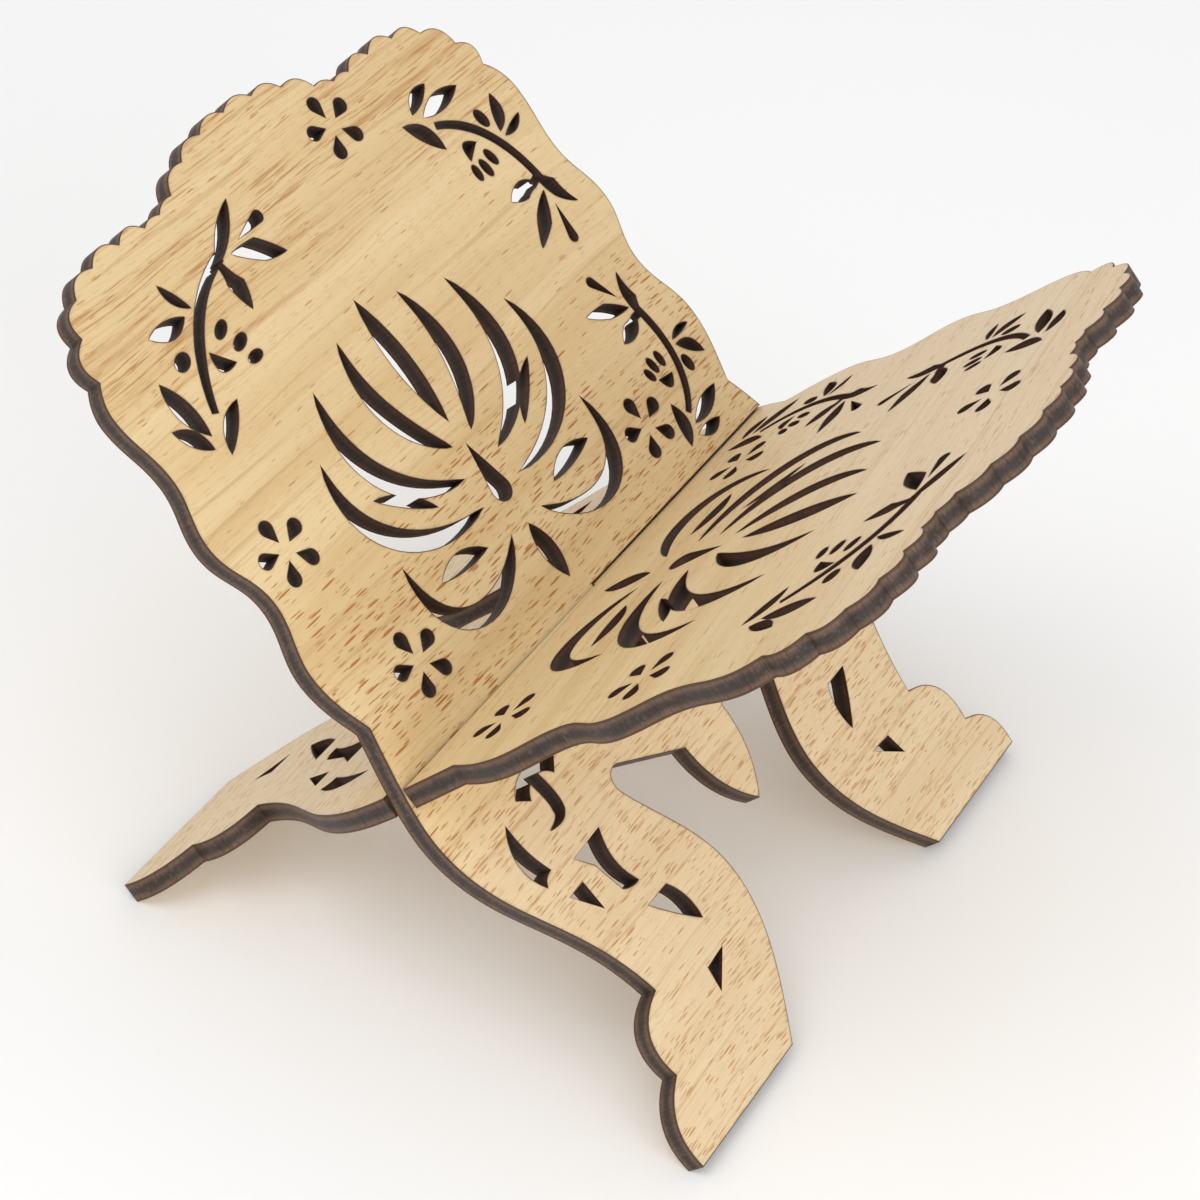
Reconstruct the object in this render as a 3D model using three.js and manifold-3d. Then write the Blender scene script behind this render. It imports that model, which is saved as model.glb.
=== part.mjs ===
// Crossed-board book stand: two boards of veneered fibreboard halved into each other along one line.
// Millimetres, +Z up. Y runs along the crossing line, X across the stand, and the feet stand on z = 0.
// The left board's book rest leans towards -X and the right board's towards +X.

import * as THREE from 'three';
import Module from 'manifold-3d';
import { mergeVertices } from 'three/addons/utils/BufferGeometryUtils.js';

const wasm = await Module();
wasm.setup();

// ---------------------------------------------------------------- driving dimensions
const boardThickness = 6.4;
const veneerThickness = 0.5;
const glueLine = 0.05; // free space between a veneer and the core
const slopeDegrees = 42.67; // slope of each board above the floor
const slotWidth = 7.25; // wider than the board, because the boards cross off square
const slotPastMiddle = 0.15; // keeps the two slot ends apart
const slotReach = 120; // past the board's edge, so that the slot's mouth is open
const cutDepth = boardThickness + 2; // a cutter stands out of both faces
const curveSteps = 3; // straight pieces for each curve of the outline
const cutSteps = 2; // straight pieces for each curve of a cut-out
const bandSteps = 4; // straight pieces along a cut stroke
const roundSteps = 6; // straight pieces round a berry
const petalSteps = 3; // straight pieces round a petal's end
const weldDistance = 1e-4;

const petalCount = 5;
const firstPetalDegrees = 97;
const petalTipRadius = 3.1;
const petalEndRadius = 10.2;
const petalWidth = 4.4;

// Heights are measured up the board from the crossing line, and widths out from its middle.
const crownHeight = 172;
const dropTip = -76.5;
const archCorner = [35, -37.3];
const dropCorner = [11, -49.5];
const widestHeight = -14;
const footHeight = -130.5;

// The shared part of the scalloped top edge: width, height and how far each scallop bows out.
const scallops = [
  [12.2, 171, 2.4],
  [23.5, 168, 2.4],
  [34, 162.6, 2.4],
  [41.4, 160.4, 1],
  [48.4, 160, 1],
  [59, 160.5, 2.8],
  [71, 160, 3],
  [82, 156, 2.7],
];
const cornerBulge = 3;
const shoulderBulge = 3.3;
const stepBulge = 6;
const toeBulge = 4.8;

// The two ends of the board differ a little, as hand-drawn outlines do.
const nearEnd = {
  corner: [88.6, 147.1],
  shoulder: [93, 135.5],
  waves: [[97.2, 125], [94.5, 105], [99.4, 84], [93.8, 63], [99.7, 40]],
  waist: [95.2, 20.6],
  widest: 102.5,
  ankle: [75.1, -88],
  step: [88, -108.1],
  toe: 100.5,
  heel: 48.5,
};
const farEnd = {
  corner: [91.5, 147.3],
  shoulder: [95.5, 137.5],
  waves: [[101, 125], [98.8, 105], [103.3, 84], [97.4, 63], [103, 40]],
  waist: [96.7, 16.4],
  widest: 104.5,
  ankle: [76.5, -92.5],
  step: [89.2, -113],
  toe: 99.8,
  heel: 47,
};

// Where each board carries its cut-outs. A sprig starts at its root and grows along its heading, and a
// turned value of -1 mirrors it.
const leftLayout = {
  flowers: [[30.2, 150.4], [-79.4, 70.4], [-67.3, 23.5], [56.9, 24.3]],
  longSprigs: [{ root: [-69.1, 110.2], heading: 40.4, length: 65.6, turned: 1 }],
  shortSprigs: [
    { root: [63.1, 132], heading: -56.5, length: 52.5, turned: 1 },
    { root: [74.4, 18.2], heading: 75.5, length: 47.4, turned: -1 },
  ],
  palmette: [-5, 13],
  legShift: [0, 0],
};
const rightLayout = {
  flowers: [[28, 139], [-80.5, 84], [-75, 25.5], [56.6, 24.1]],
  longSprigs: [{ root: [-63.6, 122], heading: 28.6, length: 62, turned: 1 }],
  shortSprigs: [
    { root: [61.5, 132.8], heading: -80.8, length: 49.4, turned: 1 },
    { root: [76.8, 19.4], heading: 92.6, length: 49.7, turned: -1 },
  ],
  palmette: [-8, 17],
  legShift: [2, -6.5],
};
const farLegShift = 2.1; // the far leg's cut-outs lie this much further out than the near leg's
const longSprigLength = 60; // the lengths that the two twigs are drawn at
const shortSprigLength = 50;

// ---------------------------------------------------------------- flat shapes
function point(pair) {
  return new THREE.Vector2(pair[0], pair[1]);
}

// Adds a shallow arc that bows out to the left of its travel.
function bulgeTo(path, x, y, bulge) {
  const start = path.currentPoint;
  const length = Math.hypot(x - start.x, y - start.y);
  const controlX = (start.x + x) / 2 - (2 * bulge * (y - start.y)) / length;
  const controlY = (start.y + y) / 2 + (2 * bulge * (x - start.x)) / length;
  path.quadraticCurveTo(controlX, controlY, x, y);
}

// Half of the outline, from the crown down to the tip of the drop, on the side where widths are positive.
function halfOutline(end) {
  const path = new THREE.Path();
  path.moveTo(0, crownHeight);
  for (const [x, y, bulge] of scallops) {
    bulgeTo(path, x, y, bulge);
  }
  bulgeTo(path, end.corner[0], end.corner[1], cornerBulge);
  bulgeTo(path, end.shoulder[0], end.shoulder[1], shoulderBulge);

  const [firstWave, ...otherWaves] = end.waves;
  path.quadraticCurveTo(firstWave[0], end.shoulder[1] - 5, firstWave[0], firstWave[1]);
  let last = firstWave;
  for (const wave of otherWaves) {
    const handle = 0.4 * (last[1] - wave[1]);
    path.bezierCurveTo(last[0], last[1] - handle, wave[0], wave[1] + handle, wave[0], wave[1]);
    last = wave;
  }
  path.bezierCurveTo(last[0], last[1] - 9, last[0] - 3.5, last[1] - 16, end.waist[0], end.waist[1]);

  path.bezierCurveTo(end.waist[0] + 3, 10, end.widest, widestHeight + 10, end.widest, widestHeight);
  path.bezierCurveTo(end.widest, -26, end.widest - 4.5, -37, end.widest - 9.5, -46);
  path.bezierCurveTo(end.widest - 16, -58, end.ankle[0] + 3.5, -70, end.ankle[0], end.ankle[1]);
  bulgeTo(path, end.step[0], end.step[1], stepBulge);
  bulgeTo(path, end.toe, footHeight, toeBulge);

  path.lineTo(end.heel, footHeight);
  path.bezierCurveTo(36, -115, 25, -101, 25, -83);
  path.bezierCurveTo(25, -68.5, 36, -54, 40, -43.5);
  path.bezierCurveTo(41.5, -39, 38.5, -36, archCorner[0], archCorner[1]);
  path.lineTo(dropCorner[0], dropCorner[1]);
  path.bezierCurveTo(dropCorner[0], -61, 6.5, -70, 0, dropTip);
  return path.getPoints(curveSteps);
}

function mirrored(points) {
  return points.map((p) => new THREE.Vector2(-p.x, p.y));
}

function boardOutline() {
  const far = halfOutline(farEnd);
  const near = mirrored(halfOutline(nearEnd)).slice(1, -1).reverse();
  return [...far, ...near];
}

// A closed shape of corners [x, y, bulge], where each side bows out by its first corner's bulge.
function curvedShape(corners) {
  const path = new THREE.Path();
  path.moveTo(corners[0][0], corners[0][1]);
  corners.forEach(([, , bulge], index) => {
    const [x, y] = corners[(index + 1) % corners.length];
    if (bulge) {
      bulgeTo(path, x, y, bulge);
    } else {
      path.lineTo(x, y);
    }
  });
  return path.getPoints(cutSteps).slice(0, -1);
}

function leaf(root, tip, leftBulge, rightBulge) {
  return curvedShape([[...root, leftBulge], [...tip, rightBulge]]);
}

function berry(centre, length, width, degrees) {
  const turn = THREE.MathUtils.degToRad(degrees);
  const [x, y] = centre;
  const curve = new THREE.EllipseCurve(x, y, length / 2, width / 2, 0, 2 * Math.PI, false, turn);
  return curve.getPoints(roundSteps).slice(0, -1);
}

// A pointed tip that widens to a round end.
function teardrop(tip, end, width) {
  const start = point(tip);
  const along = point(end).sub(start);
  const radius = width / 2;
  const reach = along.length() - radius;
  const back = along.angle() + Math.PI;
  const tangent = Math.acos(radius / reach);
  const middle = start.clone().add(along.setLength(reach));
  const points = [start];
  for (let step = 0; step <= petalSteps; step += 1) {
    const angle = back + tangent + ((2 * Math.PI - 2 * tangent) * step) / petalSteps;
    const spoke = new THREE.Vector2(radius * Math.cos(angle), radius * Math.sin(angle));
    points.push(spoke.add(middle));
  }
  return points;
}

// A stroke of changing width along a curve. A width of zero makes a pointed end.
function band(corners, widthAt) {
  const curve = new THREE.CubicBezierCurve(...corners.map(point));
  const left = [];
  const right = [];
  for (let step = 0; step <= bandSteps; step += 1) {
    const t = step / bandSteps;
    const centre = curve.getPoint(t);
    const across = curve.getTangent(t).rotateAround(new THREE.Vector2(), Math.PI / 2);
    const half = widthAt(t) / 2;
    left.push(centre.clone().addScaledVector(across, half));
    if (half > 0) {
      right.unshift(centre.clone().addScaledVector(across, -half));
    }
  }
  return [...left, ...right];
}

// A stroke that swells in the middle and is pointed at both ends.
function crescent(width) {
  return (t) => (t > 0 && t < 1 ? width * Math.sin(Math.PI * t) ** 0.8 : 0);
}

// ---------------------------------------------------------------- ornaments
function flower(centre) {
  const petals = [];
  for (let petal = 0; petal < petalCount; petal += 1) {
    const direction = THREE.MathUtils.degToRad(firstPetalDegrees + (360 / petalCount) * petal);
    const x = Math.cos(direction);
    const y = Math.sin(direction);
    const at = (radius) => [centre[0] + radius * x, centre[1] + radius * y];
    petals.push(teardrop(at(petalTipRadius), at(petalEndRadius), petalWidth));
  }
  return petals;
}

// The two twigs are drawn along their own x axis, which their stem bows away from and comes back to.
function longSprig() {
  return [
    band([[0, 0], [14, 7], [30, 8], [43, 1.2]], (t) => 1.8 + Math.min(1, 3 * t)),
    leaf([40, 1.4], [60, 0], 1.8, 2),
    curvedShape([
      [40, 1.4, 0], [41.6, 0.4, -0.4], [39.1, -6.2, 0.4], [31.9, -9.2, 0.4], [35.9, -1.8, -0.3],
    ]),
    teardrop([49.9, -4.2], [59.7, -10.2], 3.2),
    curvedShape([[45, -2.3, 0], [51.8, -8.6, 0], [51.6, -18.3, 0], [46.8, -12.4, 0]]),
    leaf([14, 19.3], [23.2, 10], 1.6, 3.2),
    leaf([29, 18], [26.3, 8.4], 0.6, 2),
    berry([10.8, 9.8], 5.6, 4, -20),
    leaf([15.6, 2.4], [15.6, -5.2], 0, 3.8),
    berry([23.1, -0.4], 5.8, 3, -14),
    berry([21.5, -6], 5.8, 3, -22),
    berry([19, -10.6], 5.2, 2.8, -38),
    leaf([2.7, 15.8], [-6.3, 0.8], 2.2, 3.2),
    leaf([-8.8, 11.5], [-9.7, -0.4], 2.6, 1.6),
    leaf([-9.6, -5.2], [5.5, -5.8], 3, 1),
  ];
}

function shortSprig() {
  return [
    band([[0, 0], [9, 7], [22, 8.5], [37, 0.7]], (t) => 1.9 + 0.7 * Math.min(1, 3 * t)),
    curvedShape([[35.5, 1.9, 0], [41, 3, 0], [50, 0, 0], [42.3, -2.2, 0], [36.5, -0.6, 0]]),
    curvedShape([
      [34, 1.5, 0], [36.5, 0.5, 0], [35.3, -2.9, 0], [33.6, -7.4, 0.6],
      [28, -11.6, 0.8], [29.6, -4, 0], [33.3, -1.6, 0],
    ]),
    teardrop([42.7, -5], [51.2, -13.7], 3.2),
    curvedShape([[38.2, -2.7, 0], [42.1, -11.9, 0], [40.2, -21.4, 0], [37.1, -11.7, 0]]),
    leaf([21.3, 9.4], [16, 19.8], 1, 3.2),
    leaf([23.3, 9], [26.5, 18.6], 0.5, 1.8),
    berry([14.5, 10.3], 6, 3.6, -20),
    leaf([13.7, 1.6], [13, -5.2], 0, 3.8),
    berry([19.3, -0.6], 5.6, 2.8, -18),
    berry([18.2, -4.9], 5.8, 2.8, -25),
    berry([15.6, -8], 5, 2.6, -35),
    leaf([-10.3, -5.8], [4.4, -5.6], 3.8, 1.2),
    leaf([-4.2, 0.7], [4.7, 16.6], 2.8, 2.2),
    leaf([-7.9, -0.3], [-5.6, 11.6], 2.8, 1.2),
  ];
}

function grown(pieces, drawnLength, { root, heading, length, turned }) {
  const scale = length / drawnLength;
  const turn = THREE.MathUtils.degToRad(heading);
  const place = (p) => {
    const local = new THREE.Vector2(p.x * scale, p.y * scale * turned);
    return local.rotateAround(new THREE.Vector2(), turn).add(point(root));
  };
  return pieces.map((piece) => piece.map(place));
}

function moved(pieces, [x, y]) {
  return pieces.map((piece) => piece.map((p) => new THREE.Vector2(p.x + x, p.y + y)));
}

function bothSides(pieces) {
  return [...pieces, ...pieces.map(mirrored)];
}

// A palmette of crescents and leaves round an upright axis, with its foot at the given point.
function palmette(foot) {
  const pieces = [
    ...bothSides([
      band([[5, 47], [14, 56], [22, 70], [15, 90]], crescent(6.5)),
      band([[9, 38], [30, 43], [42, 60], [33, 84]], crescent(7)),
      band([[10, 28.5], [36, 27], [56, 44], [47, 68]], crescent(6.5)),
      band([[8, 17], [24, 1], [52, 3], [47, 32]], crescent(6.5)),
      leaf([18, 19.5], [39, 21.5], 4, 1.2),
      leaf([23, 37.5], [40, 51], 2.6, 1),
    ]),
    leaf([0, 96], [0, 53], 3.7, 3.7),
    leaf([0, 16], [0, -3], 3.2, 3.2),
    teardrop([0, 45], [0, 25], 7.4),
  ];
  return moved(pieces, foot);
}

// The cut-outs of the near leg and their mirror images on the far leg.
function legCuts(shift) {
  const capWidth = (t) => 3.2 + 2 * Math.abs(2 * t - 1);
  const hookWidth = (t) => 4.2 * Math.min(1, 2 - 2 * t);
  const pieces = [
    band([[-69.7, -24], [-66, -18.4], [-57, -18.4], [-52.9, -23.2]], capWidth),
    band([[-62.2, -20.5], [-59.8, -34], [-61.2, -35.6], [-68.8, -35.4]], hookWidth),
    curvedShape([[-80.2, -25.2, -1.1], [-77.4, -42.7, 0], [-82, -45.4, 3.9]]),
    curvedShape([
      [-68.5, -45.7, 0], [-54.7, -45.2, -2.6], [-55.2, -63.8, 0], [-61.5, -62, 0], [-64, -51.5, 0],
    ]),
    curvedShape([[-78, -52, 0], [-71.3, -52, 0], [-71, -61.5, 0]]),
    curvedShape([[-58, -70.8, 0], [-48.3, -71, 1.6], [-45.4, -85.5, 0]]),
    curvedShape([[-55.2, -96.2, 0], [-46.3, -95.5, 0], [-56.7, -103.5, 0]]),
  ];
  const near = moved(pieces, shift);
  return [...near, ...moved(near.map(mirrored), [farLegShift, 0])];
}

// A small upright spray above the drop.
function centreSpray() {
  return [
    leaf([0, -9], [0, -32], 2.2, 2.2),
    ...bothSides([
      leaf([2.8, -16], [13, -13.5], 1.2, 2.6),
      leaf([4, -23.5], [18, -20], 3.2, 0.6),
      leaf([4.5, -29.5], [18, -27], 0.8, 2.6),
    ]),
  ];
}

function cutOuts(layout) {
  return [
    ...layout.flowers.flatMap(flower),
    ...layout.longSprigs.flatMap((place) => grown(longSprig(), longSprigLength, place)),
    ...layout.shortSprigs.flatMap((place) => grown(shortSprig(), shortSprigLength, place)),
    ...palmette(layout.palmette),
    ...legCuts(layout.legShift),
    ...centreSpray(),
  ];
}

// ---------------------------------------------------------------- solids
function slab(points, low, high) {
  const shape = new THREE.Shape(points);
  const geometry = new THREE.ExtrudeGeometry(shape, { depth: high - low, bevelEnabled: false });
  geometry.translate(0, 0, low);
  geometry.deleteAttribute('normal');
  geometry.deleteAttribute('uv');
  const merged = mergeVertices(geometry, weldDistance);
  const vertProperties = new Float32Array(merged.attributes.position.array);
  const triVerts = new Uint32Array(merged.index.array);
  return new wasm.Manifold(new wasm.Mesh({ numProp: 3, vertProperties, triVerts }));
}

function geometryOf(solid) {
  const mesh = solid.getMesh();
  const geometry = new THREE.BufferGeometry();
  geometry.setAttribute('position', new THREE.BufferAttribute(mesh.vertProperties, 3));
  geometry.setIndex(new THREE.BufferAttribute(mesh.triVerts, 1));
  geometry.computeVertexNormals();
  return geometry;
}

// The slot runs along the crossing line from the board's middle out through one end.
function slotCutter(towards) {
  const inner = -slotPastMiddle * towards;
  const outer = slotReach * towards;
  const half = slotWidth / 2;
  const corners = [[inner, -half], [outer, -half], [outer, half], [inner, half]];
  return slab(corners.map(point), -cutDepth / 2, cutDepth / 2);
}

function joined(solids) {
  return solids.reduce((total, solid) => total.add(solid));
}

const veneerMaterial = { color: 0xdcc193, roughness: 0.55, metalness: 0 };
const coreMaterial = { color: 0x4a382d, roughness: 0.7, metalness: 0 };

// One board, lying flat on its own x-y plane. faceSide is the side of that plane with the face veneer.
function board(name, layout, slotTowards, faceSide) {
  const half = boardThickness / 2;
  const coreHalf = half - veneerThickness - glueLine;
  const veneerInside = half - veneerThickness;
  const cutter = joined([
    ...cutOuts(layout).map((points) => slab(points, -cutDepth / 2, cutDepth / 2)),
    slotCutter(slotTowards),
  ]);
  const layers = [
    ['face_veneer', faceSide * veneerInside, faceSide * half, veneerMaterial],
    ['core', -coreHalf, coreHalf, coreMaterial],
    ['back_veneer', -faceSide * veneerInside, -faceSide * half, veneerMaterial],
  ];
  const group = new THREE.Group();
  for (const [layer, from, to, look] of layers) {
    const solid = slab(boardOutline(), Math.min(from, to), Math.max(from, to)).subtract(cutter);
    const mesh = new THREE.Mesh(geometryOf(solid), new THREE.MeshStandardMaterial(look));
    mesh.name = `${name}_${layer}`;
    group.add(mesh);
  }
  return group;
}

// ---------------------------------------------------------------- assembly
const slope = THREE.MathUtils.degToRad(slopeDegrees);
// The square-cut feet stand on the corner lines of their back faces.
const crossingHeight = -footHeight * Math.sin(slope) + (boardThickness / 2) * Math.cos(slope);
// Puts the middle of the stand's length on the x-z plane.
const lengthShift = (nearEnd.widest - farEnd.widest) / 2;

// Turns a flat board so that its x runs along Y and its y climbs towards -X or +X.
function stood(flatBoard, climbs) {
  const along = new THREE.Vector3(0, 1, 0);
  const up = new THREE.Vector3(climbs * Math.cos(slope), 0, Math.sin(slope));
  const normal = along.clone().cross(up);
  flatBoard.quaternion.setFromRotationMatrix(new THREE.Matrix4().makeBasis(along, up, normal));
  flatBoard.position.set(0, lengthShift, crossingHeight);
  return flatBoard;
}

const group = new THREE.Group();
group.add(stood(board('left_board', leftLayout, 1, 1), -1));
group.add(stood(board('right_board', rightLayout, -1, -1), 1));

export default group;
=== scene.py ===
"""Book stand of two laser-cut boards, each a fibreboard core with a wood veneer on both faces.

The boards are halved into each other along one line. Each board is designed flat, in millimetres: u runs
along the crossing line and v climbs the board from it. The scene itself is in metres, in the frame's own
axes.
"""

import math

import bpy
import numpy as np
from mathutils import Matrix, Vector
from mathutils.geometry import delaunay_2d_cdt


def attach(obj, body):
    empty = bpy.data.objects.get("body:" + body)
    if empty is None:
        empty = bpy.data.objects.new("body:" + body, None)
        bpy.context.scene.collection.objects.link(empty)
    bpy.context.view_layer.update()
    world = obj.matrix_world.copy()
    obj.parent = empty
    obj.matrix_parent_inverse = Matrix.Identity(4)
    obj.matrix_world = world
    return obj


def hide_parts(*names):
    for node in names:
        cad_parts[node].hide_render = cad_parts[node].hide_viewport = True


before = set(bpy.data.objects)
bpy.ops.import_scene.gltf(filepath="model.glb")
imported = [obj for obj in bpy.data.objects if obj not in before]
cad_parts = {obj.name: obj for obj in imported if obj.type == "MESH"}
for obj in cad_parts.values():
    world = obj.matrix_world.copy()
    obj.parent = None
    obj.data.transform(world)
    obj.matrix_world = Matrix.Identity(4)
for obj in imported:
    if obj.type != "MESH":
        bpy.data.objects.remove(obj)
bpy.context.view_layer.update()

MM = 0.001

# ---------------------------------------------------------------- the boards' dimensions, in millimetres
BOARD_THICKNESS = 6.4
VENEER_THICKNESS = 0.5
GLUE_LINE = 0.02
SLOPE = math.radians(42.67)
SLOT_WIDTH = 7.25
SLOT_PAST_MIDDLE = 0.15
SLOT_REACH = 120
CROWN_HEIGHT = 172
DROP_TIP = -76.5
ARCH_CORNER = (35, -37.3)
DROP_CORNER = (11, -49.5)
WIDEST_HEIGHT = -14
FOOT_HEIGHT = -130.5
STEP_BULGE = 6
TOE_BULGE = 4.8
CORNER_BULGE = 3
SHOULDER_BULGE = 3.3

# The scalloped top edge: each scallop's end and how far it bows out.
SCALLOPS = [
    (12.2, 171, 2.4), (23.5, 168, 2.4), (34, 162.6, 2.4), (41.4, 160.4, 1),
    (48.4, 160, 1), (59, 160.5, 2.8), (71, 160, 3), (82, 156, 2.7),
]
NEAR_END = {
    "corner": (88.6, 147.1),
    "shoulder": (93, 135.5),
    "waves": [(97.2, 125), (94.5, 105), (99.4, 84), (93.8, 63), (99.7, 40)],
    "waist": (95.2, 20.6),
    "widest": 102.5,
    "ankle": (75.1, -88),
    "step": (88, -108.1),
    "toe": 100.5,
    "heel": 48.5,
}
FAR_END = {
    "corner": (91.5, 147.3),
    "shoulder": (95.5, 137.5),
    "waves": [(101, 125), (98.8, 105), (103.3, 84), (97.4, 63), (103, 40)],
    "waist": (96.7, 16.4),
    "widest": 104.5,
    "ankle": (76.5, -92.5),
    "step": (89.2, -113),
    "toe": 99.8,
    "heel": 47,
}

# A sprig starts at its root and grows along its heading. A turned way of -1 mirrors it.
LEFT_LAYOUT = {
    "flowers": [(30.2, 150.4), (-79.4, 70.4), (-67.3, 23.5), (56.9, 24.3)],
    "long_sprigs": [{"root": (-69.1, 110.2), "heading": 40.4, "length": 65.6, "turned_way": 1}],
    "short_sprigs": [
        {"root": (63.1, 132), "heading": -56.5, "length": 52.5, "turned_way": 1},
        {"root": (74.4, 18.2), "heading": 75.5, "length": 47.4, "turned_way": -1},
    ],
    "palmette": (-5, 13),
    "leg_shift": (0, 0),
}
RIGHT_LAYOUT = {
    "flowers": [(28, 139), (-80.5, 84), (-75, 25.5), (56.6, 24.1)],
    "long_sprigs": [{"root": (-63.6, 122), "heading": 28.6, "length": 62, "turned_way": 1}],
    "short_sprigs": [
        {"root": (61.5, 132.8), "heading": -80.8, "length": 49.4, "turned_way": 1},
        {"root": (76.8, 19.4), "heading": 92.6, "length": 49.7, "turned_way": -1},
    ],
    "palmette": (-8, 17),
    "leg_shift": (2, -6.5),
}
FAR_LEG_SHIFT = 2.1  # the far leg's cut-outs lie this much further out than the near leg's

# Smoothness of the drawn curves.
CURVE_STEPS = 14
CUT_STEPS = 10
BAND_STEPS = 20
ROUND_STEPS = 20
PETAL_STEPS = 12

PETALS = 5
FIRST_PETAL = 97  # degrees
PETAL_TIP_RADIUS = 3.1
PETAL_END_RADIUS = 10.2
PETAL_WIDTH = 4.4


# ---------------------------------------------------------------- flat shapes
class Path:
    """A line of points drawn by straight and curved strokes."""

    def __init__(self, start, steps):
        self.points = [np.array(start, float)]
        self.steps = steps

    def line(self, end):
        self.points.append(np.array(end, float))

    def curve(self, *corners):
        """A Bezier curve from the last point, by one or two controls, to the last corner."""
        corners = [self.points[-1], *(np.array(corner, float) for corner in corners)]
        order = len(corners) - 1
        for step in range(1, self.steps + 1):
            t = step / self.steps
            weights = [math.comb(order, k) * t**k * (1 - t) ** (order - k) for k in range(order + 1)]
            self.points.append(sum(w * corner for w, corner in zip(weights, corners)))

    def bulge(self, end, height):
        """A shallow arc that bows out to the left of its travel."""
        start = self.points[-1]
        end = np.array(end, float)
        along = end - start
        left = np.array([-along[1], along[0]]) / np.hypot(*along)
        self.curve((start + end) / 2 + 2 * height * left, end)


def half_outline(end):
    path = Path((0, CROWN_HEIGHT), CURVE_STEPS)
    for x, y, height in SCALLOPS:
        path.bulge((x, y), height)
    path.bulge(end["corner"], CORNER_BULGE)
    path.bulge(end["shoulder"], SHOULDER_BULGE)

    first, *others = end["waves"]
    path.curve((first[0], end["shoulder"][1] - 5), first)
    last = first
    for wave in others:
        handle = 0.4 * (last[1] - wave[1])
        path.curve((last[0], last[1] - handle), (wave[0], wave[1] + handle), wave)
        last = wave
    path.curve((last[0], last[1] - 9), (last[0] - 3.5, last[1] - 16), end["waist"])

    widest = end["widest"]
    path.curve((end["waist"][0] + 3, 10), (widest, WIDEST_HEIGHT + 10), (widest, WIDEST_HEIGHT))
    path.curve((widest, -26), (widest - 4.5, -37), (widest - 9.5, -46))
    path.curve((widest - 16, -58), (end["ankle"][0] + 3.5, -70), end["ankle"])
    path.bulge(end["step"], STEP_BULGE)
    path.bulge((end["toe"], FOOT_HEIGHT), TOE_BULGE)

    path.line((end["heel"], FOOT_HEIGHT))
    path.curve((36, -115), (25, -101), (25, -83))
    path.curve((25, -68.5), (36, -54), (40, -43.5))
    path.curve((41.5, -39), (38.5, -36), ARCH_CORNER)
    path.line(DROP_CORNER)
    path.curve((DROP_CORNER[0], -61), (6.5, -70), (0, DROP_TIP))
    return np.array(path.points)


def mirrored(points):
    return points * (-1, 1)


def board_outline():
    near = mirrored(half_outline(NEAR_END))[1:-1]
    return np.concatenate([half_outline(FAR_END), near[::-1]])


def curved_shape(*corners):
    """A closed shape of corners (x, y, bulge), where each side bows out by its first corner's bulge."""
    path = Path(corners[0][:2], CUT_STEPS)
    for (_, _, height), following in zip(corners, (*corners[1:], corners[0])):
        if height:
            path.bulge(following[:2], height)
        else:
            path.line(following[:2])
    return np.array(path.points[:-1])


def leaf(root, tip, left, right):
    return curved_shape((*root, left), (*tip, right))


def berry(centre, length, width, degrees):
    angles = np.arange(ROUND_STEPS) * 2 * math.pi / ROUND_STEPS
    oval = np.stack([np.cos(angles) * length / 2, np.sin(angles) * width / 2], axis=1)
    return turned(oval, math.radians(degrees)) + centre


def turned(points, angle):
    cos, sin = math.cos(angle), math.sin(angle)
    return points @ np.array([[cos, sin], [-sin, cos]])


def teardrop(tip, end, width):
    """A pointed tip that widens to a round end."""
    tip, end = np.array(tip, float), np.array(end, float)
    length = np.hypot(*(end - tip))
    radius = width / 2
    reach = length - radius
    middle = tip + (end - tip) * reach / length
    back = math.atan2(*(tip - end)[::-1])
    tangent = math.acos(radius / reach)
    angles = back + np.linspace(tangent, 2 * math.pi - tangent, PETAL_STEPS + 1)
    arc = middle + radius * np.stack([np.cos(angles), np.sin(angles)], axis=1)
    return np.concatenate([[tip], arc])


def band(corners, width_at):
    """A stroke of changing width along a curve. A width of zero makes a pointed end."""
    path = Path(corners[0], BAND_STEPS)
    path.curve(*corners[1:])
    centre = np.array(path.points)
    along = np.gradient(centre, axis=0)
    across = np.stack([-along[:, 1], along[:, 0]], axis=1) / np.hypot(*along.T)[:, None]
    half = np.array([width_at(step / BAND_STEPS) / 2 for step in range(BAND_STEPS + 1)])
    left = centre + across * half[:, None]
    right = (centre - across * half[:, None])[half > 0]
    return np.concatenate([left, right[::-1]])


def crescent(width):
    """A stroke that swells in the middle and is pointed at both ends."""
    return lambda t: width * math.sin(math.pi * t) ** 0.8 if 0 < t < 1 else 0


def flower(centre):
    petals = []
    for petal in range(PETALS):
        direction = math.radians(FIRST_PETAL + 360 / PETALS * petal)
        heading = np.array([math.cos(direction), math.sin(direction)])
        tip, end = centre + PETAL_TIP_RADIUS * heading, centre + PETAL_END_RADIUS * heading
        petals.append(teardrop(tip, end, PETAL_WIDTH))
    return petals


# The two twigs are drawn along their own x axis, which their stem bows away from and comes back to.
LONG_SPRIG_LENGTH = 60
SHORT_SPRIG_LENGTH = 50


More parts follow.
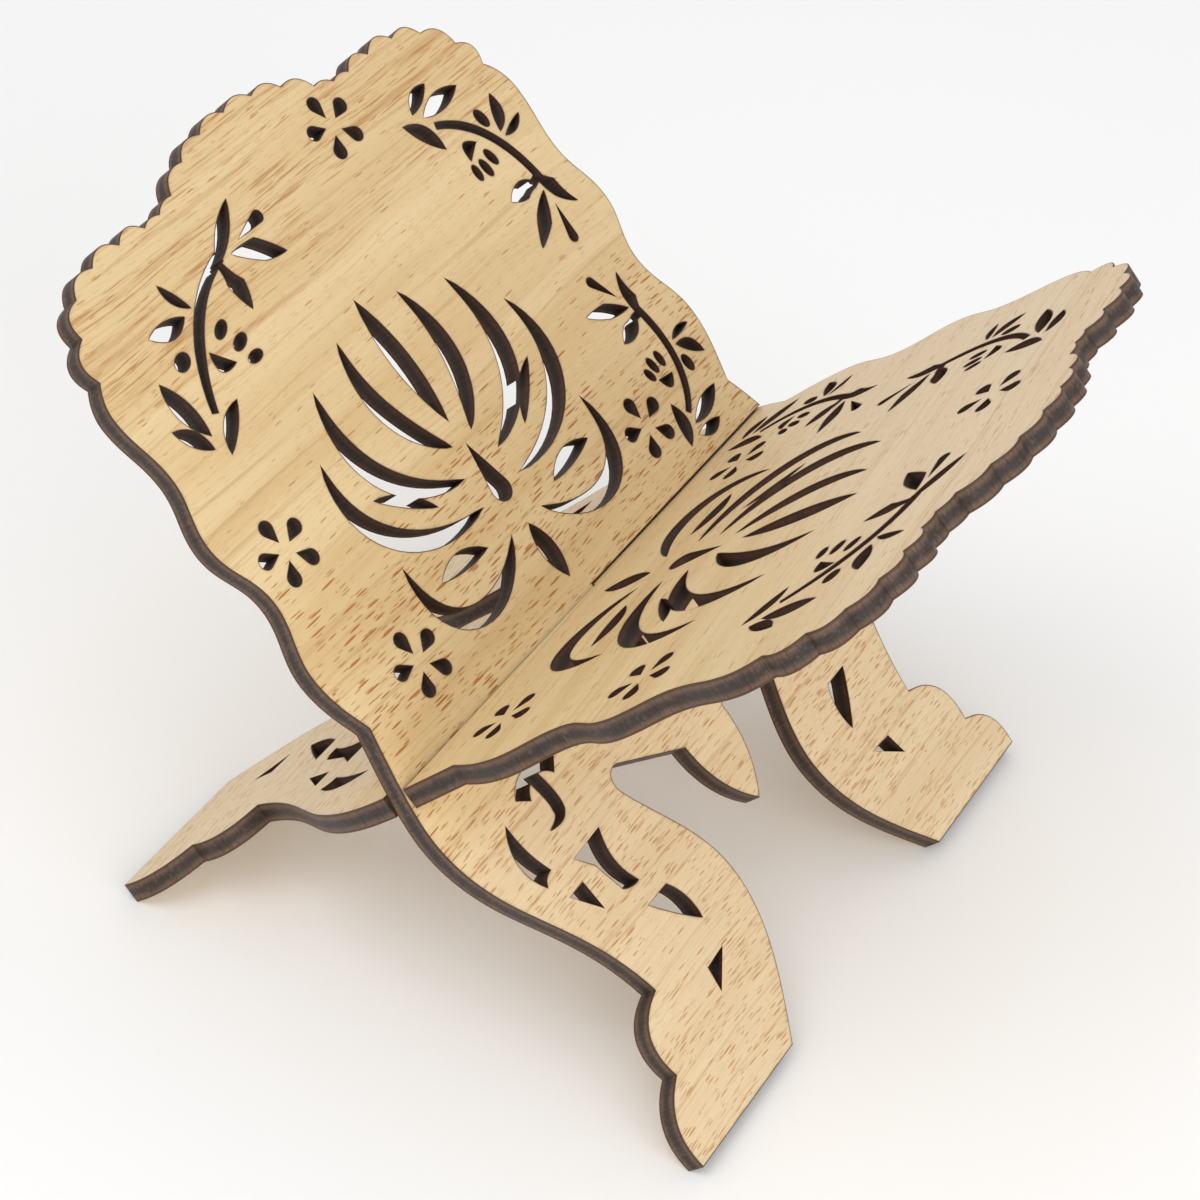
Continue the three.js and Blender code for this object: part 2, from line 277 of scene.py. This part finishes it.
def long_sprig():
    return [
        band([(0, 0), (14, 7), (30, 8), (43, 1.2)], lambda t: 1.8 + 1.0 * min(1, 3 * t)),
        leaf((40, 1.4), (60, 0), 1.8, 2.0),
        curved_shape(
            (40, 1.4, 0), (41.6, 0.4, -0.4), (39.1, -6.2, 0.4), (31.9, -9.2, 0.4), (35.9, -1.8, -0.3),
        ),
        teardrop((49.9, -4.2), (59.7, -10.2), 3.2),
        curved_shape((45, -2.3, 0.3), (51.8, -8.6, 0.3), (51.6, -18.3, 0.3), (46.8, -12.4, 0.3)),
        leaf((14, 19.3), (23.2, 10), 1.6, 3.2),
        leaf((29, 18), (26.3, 8.4), 0.6, 2),
        berry((10.8, 9.8), 5.6, 4, -20),
        leaf((15.6, 2.4), (15.6, -5.2), 0, 3.8),
        berry((23.1, -0.4), 5.8, 3, -14),
        berry((21.5, -6), 5.8, 3, -22),
        berry((19, -10.6), 5.2, 2.8, -38),
        leaf((2.7, 15.8), (-6.3, 0.8), 2.2, 3.2),
        leaf((-8.8, 11.5), (-9.7, -0.4), 2.6, 1.6),
        leaf((-9.6, -5.2), (5.5, -5.8), 3, 1),
    ]


def short_sprig():
    return [
        band([(0, 0), (9, 7), (22, 8.5), (37, 0.7)], lambda t: 1.9 + 0.7 * min(1, 3 * t)),
        curved_shape((35.5, 1.9, -0.2), (41, 3, -0.6), (50, 0, 0.5), (42.3, -2.2, 0.2), (36.5, -0.6, 0)),
        curved_shape(
            (34, 1.5, 0), (36.5, 0.5, 0), (35.3, -2.9, -0.3), (33.6, -7.4, 0.6),
            (28, -11.6, 0.8), (29.6, -4, 0.3), (33.3, -1.6, -0.3),
        ),
        teardrop((42.7, -5), (51.2, -13.7), 3.2),
        curved_shape((38.2, -2.7, 0.4), (42.1, -11.9, 0.3), (40.2, -21.4, 0.4), (37.1, -11.7, 0.4)),
        leaf((21.3, 9.4), (16, 19.8), 1, 3.2),
        leaf((23.3, 9), (26.5, 18.6), 0.5, 1.8),
        berry((14.5, 10.3), 6, 3.6, -20),
        leaf((13.7, 1.6), (13, -5.2), 0, 3.8),
        berry((19.3, -0.6), 5.6, 2.8, -18),
        berry((18.2, -4.9), 5.8, 2.8, -25),
        berry((15.6, -8), 5, 2.6, -35),
        leaf((-10.3, -5.8), (4.4, -5.6), 3.8, 1.2),
        leaf((-4.2, 0.7), (4.7, 16.6), 2.8, 2.2),
        leaf((-7.9, -0.3), (-5.6, 11.6), 2.8, 1.2),
    ]


def grown(pieces, drawn_length, root, heading, length, turned_way):
    scale = length / drawn_length
    return [turned(piece * (scale, scale * turned_way), math.radians(heading)) + root for piece in pieces]


def both_sides(pieces):
    return [*pieces, *(mirrored(piece) for piece in pieces)]


def palmette(foot):
    """Crescents and leaves round an upright axis."""
    pieces = [
        *both_sides([
            band([(5, 47), (14, 56), (22, 70), (15, 90)], crescent(6.5)),
            band([(9, 38), (30, 43), (42, 60), (33, 84)], crescent(7)),
            band([(10, 28.5), (36, 27), (56, 44), (47, 68)], crescent(6.5)),
            band([(8, 17), (24, 1), (52, 3), (47, 32)], crescent(6.5)),
            leaf((18, 19.5), (39, 21.5), 4, 1.2),
            leaf((23, 37.5), (40, 51), 2.6, 1),
        ]),
        leaf((0, 96), (0, 53), 3.7, 3.7),
        leaf((0, 16), (0, -3), 3.2, 3.2),
        teardrop((0, 45), (0, 25), 7.4),
    ]
    return [piece + foot for piece in pieces]


def leg_cuts(shift):
    """The cut-outs of the near leg and their mirror images on the far leg."""

    def cap_width(t):
        return 3.2 + 2 * abs(2 * t - 1)

    def hook_width(t):
        return 4.2 * min(1, 2 - 2 * t)

    pieces = [
        band([(-69.7, -24), (-66, -18.4), (-57, -18.4), (-52.9, -23.2)], cap_width),
        band([(-62.2, -20.5), (-59.8, -34), (-61.2, -35.6), (-68.8, -35.4)], hook_width),
        curved_shape((-80.2, -25.2, -1.1), (-77.4, -42.7, -0.8), (-82, -45.4, 3.9)),
        curved_shape(
            (-68.5, -45.7, 0), (-54.7, -45.2, -2.6), (-55.2, -63.8, 0.6), (-61.5, -62, 0), (-64, -51.5, 0),
        ),
        curved_shape((-78, -52, 0), (-71.3, -52, 0), (-71, -61.5, 0)),
        curved_shape((-58, -70.8, 0), (-48.3, -71, 1.6), (-45.4, -85.5, 0.4)),
        curved_shape((-55.2, -96.2, 0), (-46.3, -95.5, 0), (-56.7, -103.5, 0)),
    ]
    near = [piece + shift for piece in pieces]
    return [*near, *(mirrored(piece) + (FAR_LEG_SHIFT, 0) for piece in near)]


def centre_spray():
    """A small upright spray above the drop."""
    return [
        leaf((0, -9), (0, -32), 2.2, 2.2),
        *both_sides([
            leaf((2.8, -16), (13, -13.5), 1.2, 2.6),
            leaf((4, -23.5), (18, -20), 3.2, 0.6),
            leaf((4.5, -29.5), (18, -27), 0.8, 2.6),
        ]),
    ]


def cut_outs(layout):
    shapes = [petal for centre in layout["flowers"] for petal in flower(centre)]
    for place in layout["long_sprigs"]:
        shapes += grown(long_sprig(), LONG_SPRIG_LENGTH, **place)
    for place in layout["short_sprigs"]:
        shapes += grown(short_sprig(), SHORT_SPRIG_LENGTH, **place)
    return shapes + palmette(layout["palmette"]) + leg_cuts(layout["leg_shift"]) + centre_spray()


def slot(towards):
    inner, outer, half = -SLOT_PAST_MIDDLE * towards, SLOT_REACH * towards, SLOT_WIDTH / 2
    return np.array([(inner, -half), (outer, -half), (outer, half), (inner, half)])


# ---------------------------------------------------------------- from flat shapes to layered boards
RING_INSETS = (0.12, 0.45, 1.0, 1.8)  # rings round every cut edge, which carry the scorched rim
EDGE_DROP = 0.08  # how far the face falls away at its very edge
FAR_FROM_EDGE = 3.0
TOUCHING = 0.01


def counterclockwise(loop):
    x, y = loop.T
    area = np.dot(x, np.roll(y, -1)) - np.dot(np.roll(x, -1), y)
    return loop if area > 0 else loop[::-1]


def offset(loop, distance):
    """The counterclockwise loop moved outwards, with its sharp corners kept short."""
    ahead = np.roll(loop, -1, axis=0) - loop
    ahead /= np.maximum(np.hypot(*ahead.T), 1e-9)[:, None]
    normal = np.stack([ahead[:, 1], -ahead[:, 0]], axis=1)
    blended = normal + np.roll(normal, 1, axis=0)
    length = np.maximum(np.hypot(*blended.T), 1e-6)[:, None]
    unit = blended / length
    return loop + unit * distance * np.minimum(2 / length, 1.4)


def edge_distance(points, starts, ends):
    """Each point's distance to the nearest of the segments."""
    along = ends - starts
    squared = np.maximum((along**2).sum(1), 1e-12)
    found = np.empty(len(points))
    for index, point in enumerate(points):
        away = point - starts
        t = np.clip((away * along).sum(1) / squared, 0, 1)
        found[index] = math.sqrt(((away - along * t[:, None]) ** 2).sum(1).min())
    return found


def board_plan(outline, cuts):
    """Triangles of the outline less the cuts: points, triangles, boundary edges, distances, outer edges."""
    loops = [counterclockwise(outline), *(counterclockwise(cut) for cut in cuts)]
    coords, faces, edges = [], [], []

    def add(loop):
        first = len(coords)
        coords.extend(Vector(point) for point in loop)
        return list(range(first, len(coords)))

    for loop in loops:
        faces.append(add(loop))
    for inset in RING_INSETS:
        for number, loop in enumerate(loops):
            ring = add(offset(loop, inset if number else -inset))
            edges += list(zip(ring, ring[1:] + ring[:1]))
    points, _, triangles, _, _, origins = delaunay_2d_cdt(coords, edges, faces, 1, 1e-5, True)
    kept = [triangle for triangle, origin in zip(triangles, origins) if list(origin) == [0]]

    owners = {}
    for triangle in kept:
        for a, b in zip(triangle, (*triangle[1:], triangle[0])):
            owners[(a, b)] = True
    boundary = [(a, b) for a, b in owners if (b, a) not in owners]
    points = np.array([tuple(point) for point in points])
    starts, ends = (points[[edge[side] for edge in boundary]] for side in (0, 1))
    distance = np.minimum(edge_distance(points, starts, ends), FAR_FROM_EDGE)
    outer = edge_distance((starts + ends) / 2, outline, np.roll(outline, -1, axis=0)) < TOUCHING
    return points, kept, boundary, distance, outer


def layer_mesh(name, plan, low, high, drop_low, drop_high):
    """One board layer from low to high. A face with a drop falls away at its very edge."""
    points, triangles, boundary, distance, outer = plan
    used = sorted({corner for triangle in triangles for corner in triangle})
    place = {old: new for new, old in enumerate(used)}
    flat, near = points[used], distance[used]
    rim = np.clip(1 - near / RING_INSETS[0], 0, 1)
    bottom = np.column_stack([flat, low + drop_low * rim])
    top = np.column_stack([flat, high - drop_high * rim])
    count = len(used)
    faces = [[place[c] + count for c in triangle] for triangle in triangles]
    faces += [[place[c] for c in reversed(triangle)] for triangle in triangles]
    caps = len(faces)
    faces += [[place[a], place[b], place[b] + count, place[a] + count] for a, b in boundary]

    mesh = bpy.data.meshes.new(name)
    mesh.from_pydata(np.concatenate([bottom, top]) * MM, [], faces)
    attribute = mesh.attributes.new("edge_mm", "FLOAT", "POINT")
    attribute.data.foreach_set("value", np.concatenate([near, near]))
    mesh.polygons.foreach_set("material_index", [0] * caps + [1 if edge else 2 for edge in outer])
    mesh.polygons.foreach_set("use_smooth", [True] * len(faces))
    mesh.set_sharp_from_angle(angle=math.radians(28))
    mesh.validate()
    mesh.update()
    piece = bpy.data.objects.new(name, mesh)
    bpy.context.scene.collection.objects.link(piece)
    return piece


LENGTH_SHIFT = (NEAR_END["widest"] - FAR_END["widest"]) / 2
CROSSING_HEIGHT = -FOOT_HEIGHT * math.sin(SLOPE) + BOARD_THICKNESS / 2 * math.cos(SLOPE)


def stood(climbs):
    """Turns a flat board so that u runs along Y and v climbs towards -X or +X."""
    along = Vector((0, 1, 0))
    up = Vector((climbs * math.cos(SLOPE), 0, math.sin(SLOPE)))
    turn = Matrix((along, up, along.cross(up))).transposed().to_4x4()
    return Matrix.Translation(Vector((0, LENGTH_SHIFT, CROSSING_HEIGHT)) * MM) @ turn


# ---------------------------------------------------------------- materials
def srgb(red, green, blue):
    """A display colour of 0 to 255 made linear."""
    return (*(((value / 255 + 0.055) / 1.055) ** 2.4 for value in (red, green, blue)), 1.0)


class Finish:
    """A material being made, with short calls for its nodes. Lengths in it are in millimetres."""

    def __init__(self, name):
        self.data = bpy.data.materials.new(name)
        self.data.use_nodes = True
        self.tree = self.data.node_tree
        self.shader = self.tree.nodes["Principled BSDF"]
        scaled = self.vector("MULTIPLY", self.node("TexCoord").outputs["Object"], (1 / MM,) * 3)
        self.axes = self.node("SeparateXYZ", {0: scaled}).outputs[:3]

    def feed(self, socket, value):
        if isinstance(value, bpy.types.NodeSocket):
            self.tree.links.new(value, socket)
        else:
            socket.default_value = value

    def node(self, kind, inputs=(), **settings):
        made = self.tree.nodes.new("ShaderNode" + kind)
        for key, value in settings.items():
            setattr(made, key, value)
        for key, value in dict(inputs).items():
            self.feed(made.inputs[key], value)
        return made

    def vector(self, operation, *values):
        return self.node("VectorMath", enumerate(values), operation=operation).outputs[0]

    def math(self, operation, *values):
        return self.node("Math", enumerate(values), operation=operation).outputs[0]

    def product(self, first, *others):
        for other in others:
            first = self.math("MULTIPLY", first, other)
        return first

    def total(self, first, *others):
        for other in others:
            first = self.math("ADD", first, other)
        return first

    def mix(self, share, first, second):
        """The first colour with a share of the second over it."""
        return self.node("Mix", {0: share, 6: first, 7: second}, data_type="RGBA").outputs[2]

    def ramp(self, value, low, high):
        """0 at low, 1 at high and smooth between them. It falls where low is the greater."""
        inputs = {"Value": value, "From Min": low, "From Max": high}
        return self.node("MapRange", inputs, interpolation_type="SMOOTHSTEP").outputs["Result"]

    def combined(self, *axes):
        return self.node("CombineXYZ", enumerate(axes)).outputs[0]

    def cells(self, place, sizes):
        return self.vector("MULTIPLY", place, tuple(1 / size for size in sizes))

    def noise(self, place, sizes, detail=2, roughness=0.5):
        """Noise whose blotches have the given sizes, with a middle value of 0.5."""
        inputs = {"Vector": self.cells(place, sizes), "Scale": 1, "Detail": detail, "Roughness": roughness}
        return self.node("TexNoise", inputs).outputs[0]

    def dashes(self, place, sizes, radius, density):
        """Dashes of uneven length, in a share of the cells of the given sizes. The radius is in cells."""
        inputs = {"Vector": self.cells(place, (*sizes, 1)), "Scale": 1}
        found = self.node("TexVoronoi", inputs, voronoi_dimensions="2D")
        picked, length, _ = self.node("SeparateColor", {0: found.outputs["Color"]}).outputs[:3]
        reach = self.total(self.product(length, radius), 0.5 * radius)
        dash = self.ramp(self.math("DIVIDE", found.outputs["Distance"], reach), 1, 0.6)
        chosen = self.ramp(self.math("SUBTRACT", density, picked), 0, 0.02)
        return self.product(dash, chosen)

    def rough(self, value):
        self.feed(self.shader.inputs["Roughness"], value)

    def colour(self, value):
        self.feed(self.shader.inputs["Base Color"], value)

    def relief(self, height, depth, strength):
        """Bump of the given depth in millimetres."""
        inputs = {"Height": height, "Distance": depth * MM, "Strength": strength}
        self.feed(self.shader.inputs["Normal"], self.node("Bump", inputs).outputs[0])


PALE_WOOD = srgb(229, 204, 156)
WARM_WOOD = srgb(215, 184, 131)
ROSY_WOOD = srgb(225, 204, 172)
GROWTH_LINE = srgb(184, 142, 88)
STREAK = srgb(178, 124, 66)
LONG_PORE = srgb(172, 106, 45)
SHORT_PORE = srgb(180, 127, 69)
SCORCHED = srgb(48, 24, 15)
SCORCH_HALO = srgb(150, 98, 58)

# How each board's veneer differs. Heights are up the board, and the grain climbs by its lean along u.
LEFT_WOOD = {
    "lean": 0.0, "pored_below": 58, "pores": 1.0, "streaked_above": 121, "streaks": 1.0,
    "rosy": 0.1, "leg_rosy": 0.55,
}
RIGHT_WOOD = {
    "lean": 0.12, "pored_below": -8, "pores": 0.4, "streaked_above": 150, "streaks": 0.35,
    "rosy": 0.75, "leg_rosy": 0.7,
}
GRAIN_SHIFT = (31.7, 57.3)  # how far apart two seeds' pieces of veneer lie in the endless wood


def wood_material(name, seed, look):
    """Satin veneer with its grain along u, open pores and rims scorched by the laser."""
    wood = Finish(name)
    u, v, _ = wood.axes
    along, up = (shift * seed for shift in GRAIN_SHIFT)
    shifted = wood.combined(wood.total(u, along), wood.total(v, up), 0)
    wander = wood.product(wood.total(wood.noise(shifted, (130, 45, 1)), -0.5), 9)
    height = wood.total(v, wood.product(u, look["lean"]), wander)
    place = wood.combined(wood.total(u, along), wood.total(height, up), 0)

    tone = wood.noise(place, (190, 15, 1), 3)
    lines = wood.noise(place, (140, 1.9, 1), 3, 0.6)
    fibres = wood.noise(place, (16, 0.28, 1), 2, 0.6)
    pored = wood.ramp(height, look["pored_below"] + 14, look["pored_below"] - 10)
    streaked = wood.ramp(height, look["streaked_above"] - 0.8, look["streaked_above"] + 0.8)
    leg = wood.ramp(v, -4, -36)
    far = wood.ramp(wood.total(wood.product(u, 0.8), v), -20, 150)

    colour = wood.mix(wood.ramp(tone, 0.3, 0.7), PALE_WOOD, WARM_WOOD)
    colour = wood.mix(wood.product(pored, wood.ramp(leg, 1, 0), 0.12), colour, WARM_WOOD)
    colour = wood.mix(wood.product(streaked, look["streaks"], 0.35), colour, WARM_WOOD)
    colour = wood.mix(wood.product(far, look["rosy"]), colour, ROSY_WOOD)
    colour = wood.mix(wood.product(leg, look["leg_rosy"]), colour, ROSY_WOOD)
    line_share = wood.total(wood.product(leg, 0.2), 0.55)
    colour = wood.mix(wood.product(wood.ramp(lines, 0.5, 0.78), line_share), colour, GROWTH_LINE)
    colour = wood.mix(wood.product(wood.ramp(fibres, 0.45, 0.75), 0.16), colour, GROWTH_LINE)

    bundle = wood.ramp(wood.noise(place, (170, 6, 1), 2), 0.4, 0.56)
    strand = wood.ramp(wood.noise(place, (21, 0.8, 1), 3, 0.6), 0.5, 0.64)
    streaks = wood.product(bundle, strand, wood.total(wood.product(streaked, 0.72), 0.13), look["streaks"])
    broad = wood.ramp(wood.noise(place, (90, 3.6, 1), 2), 0.5, 0.66)
    colour = wood.mix(wood.product(bundle, broad, streaked, look["streaks"], 0.42), colour, STREAK)
    colour = wood.mix(streaks, colour, STREAK)

    clusters = wood.ramp(wood.noise(place, (60, 14, 1), 2), 0.3, 0.6)
    long_density = wood.product(pored, clusters, look["pores"])
    short_density = wood.total(wood.product(long_density, 0.7), 0.14)
    fine_leg = wood.total(wood.product(leg, -0.6), 1)
    long_pores = wood.product(wood.dashes(place, (15, 1.6), 0.18, long_density), fine_leg)
    slim_density = wood.total(wood.product(streaked, look["streaks"], 0.55), wood.product(leg, 0.22))
    slim_pores = wood.dashes(wood.vector("ADD", place, (11.9, 4.3, 0)), (30, 1.3), 0.17, slim_density)
    short_pores = wood.dashes(wood.vector("ADD", place, (5.3, 2.1, 0)), (9, 1.15), 0.2, short_density)
    hair_pores = wood.dashes(wood.vector("ADD", place, (1.7, 8.9, 0)), (7, 0.5), 0.2, 0.4)
    colour = wood.mix(wood.product(hair_pores, 0.36), colour, SHORT_PORE)
    colour = wood.mix(wood.product(slim_pores, 0.6), colour, SHORT_PORE)
    colour = wood.mix(wood.product(short_pores, 0.72), colour, SHORT_PORE)
    colour = wood.mix(wood.product(long_pores, 0.92), colour, LONG_PORE)

    edge = wood.node("Attribute", attribute_name="edge_mm").outputs["Fac"]
    smoke = wood.noise(shifted, (5, 5, 1), 3)
    halo = wood.product(wood.ramp(edge, 1.3, 0.1), wood.ramp(smoke, 0.35, 0.7))
    colour = wood.mix(wood.product(halo, 0.4), colour, SCORCH_HALO)
    colour = wood.mix(wood.ramp(edge, 0.48, 0.12), colour, SCORCHED)

    pores = wood.math("MAXIMUM", wood.math("MAXIMUM", long_pores, short_pores), wood.product(hair_pores, 0.5))
    wood.colour(colour)
    wood.rough(wood.total(wood.product(fibres, 0.18), wood.product(pores, 0.22), 0.4))
    wood.relief(wood.math("SUBTRACT", wood.total(fibres, wood.product(lines, 0.6)), pores), 0.05, 0.6)
    return wood.data


# How the laser left the board's outer edge and the walls of its cut-outs, whose darker colours are painted
# shade inside the cut-outs.
OUTER_WALL = {
    "middle": srgb(60, 50, 46), "side": srgb(108, 84, 67), "line": srgb(44, 31, 25),
    "veneer": srgb(92, 63, 44), "fleck": srgb(140, 118, 100), "gloss": 0.34,
}
# Darker than the outer edge's colours: painted shade inside the cut-outs.
CUT_WALL_WITH_PAINTED_SHADE = {
    "middle": srgb(54, 41, 35), "side": srgb(84, 57, 43), "line": srgb(36, 21, 15),
    "veneer": srgb(70, 36, 24), "fleck": srgb(84, 68, 58), "gloss": 0.5,
}


def edge_material(name, seed, look):
    """A laser-cut wall: charred in the middle of the board, browner towards each veneer, finely streaked."""
    char = Finish(name)
    u, v, n = char.axes
    place = char.vector("ADD", char.combined(u, v, n), (13.1 * seed, 7.7 * seed, 0))
    streaks = char.noise(place, (0.5, 0.5, 8), 3, 0.65)
    patches = char.noise(place, (7, 7, 9), 3)
    grime = char.noise(place, (1.1, 1.1, 1.4), 3, 0.6)
    within = char.math("ABSOLUTE", n)
    depth = char.total(within, char.product(char.total(patches, -0.5), 2.2))
    glue = BOARD_THICKNESS / 2 - VENEER_THICKNESS

    colour = char.mix(char.ramp(depth, 0.5, 2.4), look["middle"], look["side"])
    colour = char.mix(char.product(char.ramp(streaks, 0.42, 0.72), 0.5), colour, look["line"])
    colour = char.mix(char.product(char.ramp(grime, 0.5, 0.75), 0.24), colour, look["fleck"])
    colour = char.mix(char.product(char.ramp(within, glue - 0.25, glue), 0.7), colour, look["line"])
    colour = char.mix(char.ramp(within, glue, glue + 0.08), colour, look["veneer"])
    colour = char.mix(char.ramp(within, glue + 0.3, glue + VENEER_THICKNESS), colour, look["line"])

    char.colour(colour)
    char.rough(char.total(char.product(streaks, 0.3), char.product(grime, 0.12), look["gloss"]))
    char.shader.inputs["Specular IOR Level"].default_value = 0.3
    char.relief(char.total(streaks, char.product(grime, 0.4)), 0.09, 0.7)
    return char.data


FIBRE_LIGHT = srgb(168, 132, 94)
FIBRE_DARK = srgb(118, 86, 58)


def fibreboard_material(name, seed):
    """Pressed wood fibre, matted and speckled."""
    board = Finish(name)
    place = board.vector("ADD", board.combined(*board.axes), (19.3 * seed, 4.1 * seed, 0))
    matted = board.noise(place, (0.8, 0.35, 1), 4, 0.7)
    clouds = board.noise(place, (9, 9, 9), 2)
    colour = board.mix(board.ramp(matted, 0.3, 0.7), FIBRE_DARK, FIBRE_LIGHT)
    board.colour(board.mix(board.product(board.ramp(clouds, 0.35, 0.7), 0.35), colour, FIBRE_DARK))
    board.rough(board.total(board.product(matted, 0.2), 0.7))
    board.relief(matted, 0.08, 0.6)
    return board.data


# ---------------------------------------------------------------- the two boards
def build_board(body, layout, look, slot_towards, face_side, climbs, seed):
    plan = board_plan(board_outline(), [*cut_outs(layout), slot(slot_towards)])
    half = BOARD_THICKNESS / 2
    inside = half - VENEER_THICKNESS
    walls = [
        edge_material(f"{body}_outer_edge", seed, OUTER_WALL),
        # The cut-out walls get the darker colours, painted shade inside the cut-outs.
        edge_material(f"{body}_cut_wall_painted_shade", seed, CUT_WALL_WITH_PAINTED_SHADE),
    ]
    layers = {
        "face_veneer": (inside, half) if face_side > 0 else (-half, -inside),
        "core": (-inside + GLUE_LINE, inside - GLUE_LINE),
        "back_veneer": (-half, -inside) if face_side > 0 else (inside, half),
    }
    for number, (layer, (low, high)) in enumerate(layers.items()):
        outer = layer != "core"
        drop_high = EDGE_DROP if outer and high > 0 else 0
        drop_low = EDGE_DROP if outer and high < 0 else 0
        piece = layer_mesh(f"{body}_{layer}_cut", plan, low, high, drop_low, drop_high)
        if outer:
            piece.data.materials.append(wood_material(f"{body}_{layer}", seed + number, look))
        else:
            piece.data.materials.append(fibreboard_material(f"{body}_{layer}", seed))
        for wall in walls:
            piece.data.materials.append(wall)
        piece.matrix_world = stood(climbs)
        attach(piece, body)
        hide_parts(f"{body}_{layer}")


build_board("left_board", LEFT_LAYOUT, LEFT_WOOD, 1, 1, -1, 1)
build_board("right_board", RIGHT_LAYOUT, RIGHT_WOOD, -1, -1, 1, 11)


# ---------------------------------------------------------------- floor, light and camera
FLOOR_SIZE = 6.0


def floor():
    mesh = bpy.data.meshes.new("floor")
    half = FLOOR_SIZE / 2
    corners = [(-half, -half, 0), (half, -half, 0), (half, half, 0), (-half, half, 0)]
    mesh.from_pydata(corners, [], [(0, 1, 2, 3)])
    plane = bpy.data.objects.new("floor", mesh)
    bpy.context.scene.collection.objects.link(plane)
    paper = Finish("floor")
    clouds = paper.noise(paper.combined(*paper.axes), (400, 400, 400), 2)
    paper.colour(paper.mix(clouds, (0.96, 0.96, 0.96, 1), (0.94, 0.94, 0.94, 1)))
    paper.rough(0.8)
    mesh.materials.append(paper.data)


def area_light(name, place, aim, size, power):
    data = bpy.data.lights.new(name, "AREA")
    data.shape = "SQUARE"
    data.size = size
    data.energy = power
    light = bpy.data.objects.new(name, data)
    bpy.context.scene.collection.objects.link(light)
    light.location = place
    light.rotation_euler = (Vector(aim) - Vector(place)).to_track_quat("-Z", "Y").to_euler()


def world_light(strength):
    world = bpy.data.worlds.new("studio")
    world.use_nodes = True
    world.node_tree.nodes["Background"].inputs["Color"].default_value = (1, 1, 1, 1)
    world.node_tree.nodes["Background"].inputs["Strength"].default_value = strength
    bpy.context.scene.world = world


CAMERA_FROM_CROSSING = (0.3226, -0.5837, 0.5711)
CAMERA_AZIMUTH = math.radians(29.687)
CAMERA_ELEVATION = math.radians(40.585)
CAMERA_ROLL = math.radians(2.191)
SENSOR_WIDTH = 36
LENS = 91.72
CAMERA_SHIFT = (0.0314, -0.0034)


def camera():
    data = bpy.data.cameras.new("camera")
    data.sensor_width = SENSOR_WIDTH
    data.lens = LENS
    data.shift_x, data.shift_y = CAMERA_SHIFT
    data.clip_start = 0.01
    data.clip_end = 100
    view = bpy.data.objects.new("camera", data)
    bpy.context.scene.collection.objects.link(view)
    crossing = Vector((0, LENGTH_SHIFT * MM, CROSSING_HEIGHT * MM))
    place = crossing + Vector(CAMERA_FROM_CROSSING)
    level = Matrix.Rotation(CAMERA_AZIMUTH, 4, "Z") @ Matrix.Rotation(math.pi / 2 - CAMERA_ELEVATION, 4, "X")
    view.matrix_world = Matrix.Translation(place) @ level @ Matrix.Rotation(CAMERA_ROLL, 4, "Z")
    bpy.context.scene.camera = view


floor()
camera()
world_light(0.8)
bpy.context.scene.view_settings.view_transform = "Standard"
area_light("key", (-0.3, -0.9, 1.7), (0, 0, 0.1), 1.3, 8)
area_light("fill", (1.5, -0.7, 0.7), (0, 0, 0.05), 1.4, 10)

bpy.context.view_layer.update()
